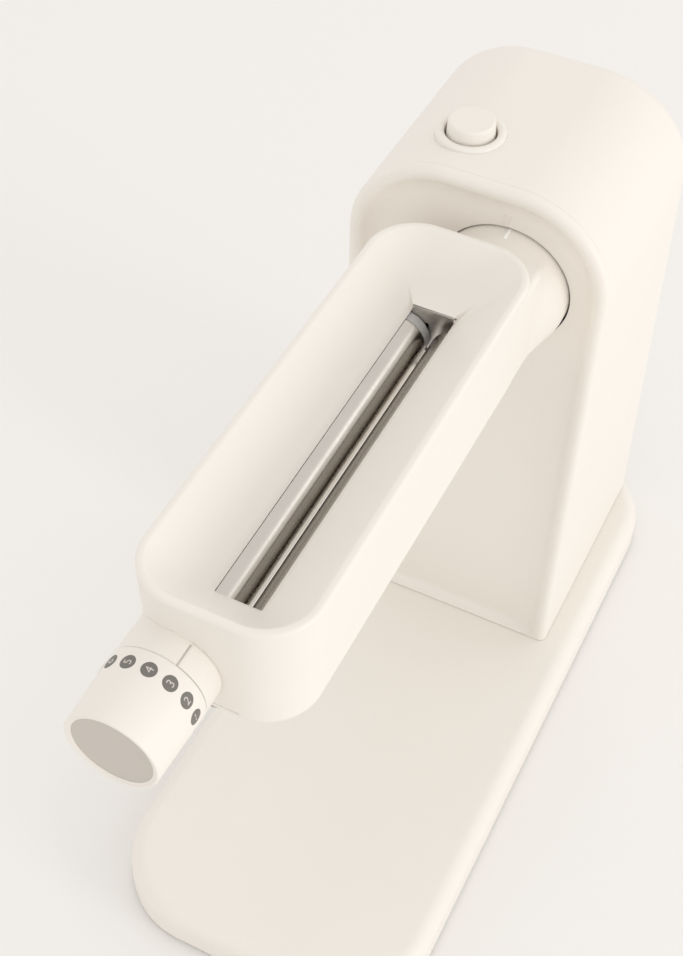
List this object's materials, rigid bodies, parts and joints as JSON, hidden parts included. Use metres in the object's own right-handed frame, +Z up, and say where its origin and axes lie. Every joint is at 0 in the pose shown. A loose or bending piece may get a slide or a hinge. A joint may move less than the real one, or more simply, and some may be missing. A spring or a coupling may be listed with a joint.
{
  "type": "electric pasta maker",
  "caption": "Electric sheet roller for pasta: a slim motor tower on a flat base carries a forward-reaching roller head with a hopper tray, steel rollers and a thickness knob.",
  "frame": {"origin": "centre of the whole object's footprint, on the surface it stands on", "axes": "+Z up, +X to the right seen from the front, -Y towards the user along the roller head, +Y towards the tower's back"},
  "size_m": [0.136, 0.3694, 0.2761],
  "materials": {
    "cream_satin": "satin moulded plastic",
    "black_rubber": "matt rubber",
    "polished_steel": "polished steel",
    "sheet_steel": "plain sheet steel",
    "spring_steel": "drawn wire",
    "gear_nylon": "natural nylon",
    "grey_nylon": "light grey nylon",
    "bearing_bronze": "sintered bronze",
    "circuit_board": "green lacquered board",
    "black_plastic": "black moulded plastic",
    "disc_grey": "warm grey matt plastic"
  },
  "bodies": {
    "appliance": {"base_shell": "cream_satin", "base_plate": "black_plastic", "foot_front_left": "black_rubber", "foot_front_right": "black_rubber", "foot_back_left": "black_rubber", "foot_back_right": "black_rubber", "chassis_screw_1": "sheet_steel", "chassis_screw_2": "sheet_steel", "tower_housing": "cream_satin", "front_panel": "cream_satin", "button_ring": "cream_satin", "button_switch": "black_plastic", "button_spring": "spring_steel", "chassis": "sheet_steel", "gearbox_plate": "sheet_steel", "gearbox_pillar_1": "sheet_steel", "gearbox_pillar_2": "sheet_steel", "first_gear_axle": "polished_steel", "second_gear_axle": "polished_steel", "output_bearing_front": "bearing_bronze", "output_bearing_back": "bearing_bronze", "socket_cup": "grey_nylon", "motor_can": "sheet_steel", "motor_end_cap": "black_plastic", "circuit_board": "circuit_board", "power_inlet": "black_plastic", "motor_lead": "black_plastic", "switch_lead": "black_plastic"},
    "button": {"power_button": "cream_satin"},
    "output": {"output_shaft": "polished_steel", "output_gear": "gear_nylon"},
    "second_wheel": {"second_gear": "gear_nylon"},
    "first_wheel": {"first_gear": "gear_nylon"},
    "motor": {"motor_rotor": "polished_steel", "motor_pinion": "bearing_bronze"},
    "head": {"hopper_housing": "cream_satin", "head_bottom_cover": "cream_satin", "cover_screw_near": "sheet_steel", "cover_screw_far": "sheet_steel", "side_plate_near": "sheet_steel", "side_plate_far": "sheet_steel", "tie_rod_left": "polished_steel", "tie_rod_right": "polished_steel", "scraper_left": "sheet_steel", "scraper_right": "sheet_steel", "drive_bush_near": "bearing_bronze", "drive_bush_far": "bearing_bronze"},
    "driven_roller": {"drive_roller": "polished_steel", "drive_roller_gear": "sheet_steel", "drive_coupling": "sheet_steel"},
    "carriers": {"carrier_near": "bearing_bronze", "carrier_far": "bearing_bronze"},
    "adjusted_roller": {"adjust_roller": "polished_steel", "adjust_roller_ring": "grey_nylon", "adjust_roller_gear": "sheet_steel"},
    "knob_shaft": {"adjust_shaft": "polished_steel", "knob_spring": "spring_steel"},
    "knob": {"thickness_knob": "cream_satin", "knob_disc": "disc_grey"}
  },
  "joints": [
    {"name": "motor_spin", "type": "hinge", "parent": "appliance", "child": "motor", "pos_m": [-0.00205, 0.12055, 0.15195], "axis": [0, 1, 0], "continuous": true},
    {"name": "first_gear_spin", "type": "hinge", "parent": "appliance", "child": "first_wheel", "pos_m": [0.0091, 0.09495, 0.17292], "axis": [0, 1, 0], "continuous": true},
    {"name": "second_gear_spin", "type": "hinge", "parent": "appliance", "child": "second_wheel", "pos_m": [-0.00158, 0.09495, 0.1969], "axis": [0, 1, 0], "continuous": true},
    {"name": "output_spin", "type": "hinge", "parent": "appliance", "child": "output", "pos_m": [0.0113, 0.07265, 0.2233], "axis": [0, 1, 0], "continuous": true},
    {"name": "head_pull", "type": "slide", "parent": "appliance", "child": "head", "axis": [0, -1, 0], "range_m": [0, 0.03]},
    {"name": "drive_roller_spin", "type": "hinge", "parent": "head", "child": "driven_roller", "pos_m": [0.0113, -0.12785, 0.2233], "axis": [0, 1, 0], "continuous": true},
    {"name": "roller_shift", "type": "slide", "parent": "head", "child": "carriers", "axis": [1, 0, 0], "range_m": [-0.00056, 0.0014]},
    {"name": "adjust_roller_spin", "type": "hinge", "parent": "carriers", "child": "adjusted_roller", "pos_m": [-0.0113, -0.12785, 0.2233], "axis": [0, 1, 0], "continuous": true},
    {"name": "knob_turn", "type": "hinge", "parent": "head", "child": "knob_shaft", "pos_m": [-0.0113, -0.15765, 0.2233], "axis": [0, 1, 0], "range_deg": [-51.43, 128.57]},
    {"name": "knob_pull", "type": "slide", "parent": "knob_shaft", "child": "knob", "axis": [0, -1, 0], "range_m": [0, 0.004], "stiffness_N_per_m": 600, "springref_m": -0.002, "deforming": ["knob_spring"]},
    {"name": "power_button_press", "type": "slide", "parent": "appliance", "child": "button", "axis": [0, 0, -1], "range_m": [0, 0.0025], "stiffness_N_per_m": 700, "springref_m": -0.001, "deforming": ["button_spring"]}
  ],
  "couplings": [
    {"joint": "first_gear_spin", "follows": "motor_spin", "ratio": -0.35714},
    {"joint": "second_gear_spin", "follows": "motor_spin", "ratio": 0.11161},
    {"joint": "output_spin", "follows": "motor_spin", "ratio": -0.034102},
    {"joint": "drive_roller_spin", "follows": "motor_spin", "ratio": -0.034102},
    {"joint": "adjust_roller_spin", "follows": "motor_spin", "ratio": 0.034102},
    {"joint": "knob_turn", "follows": "roller_shift", "rad_per_m": 1602.6}
  ]
}
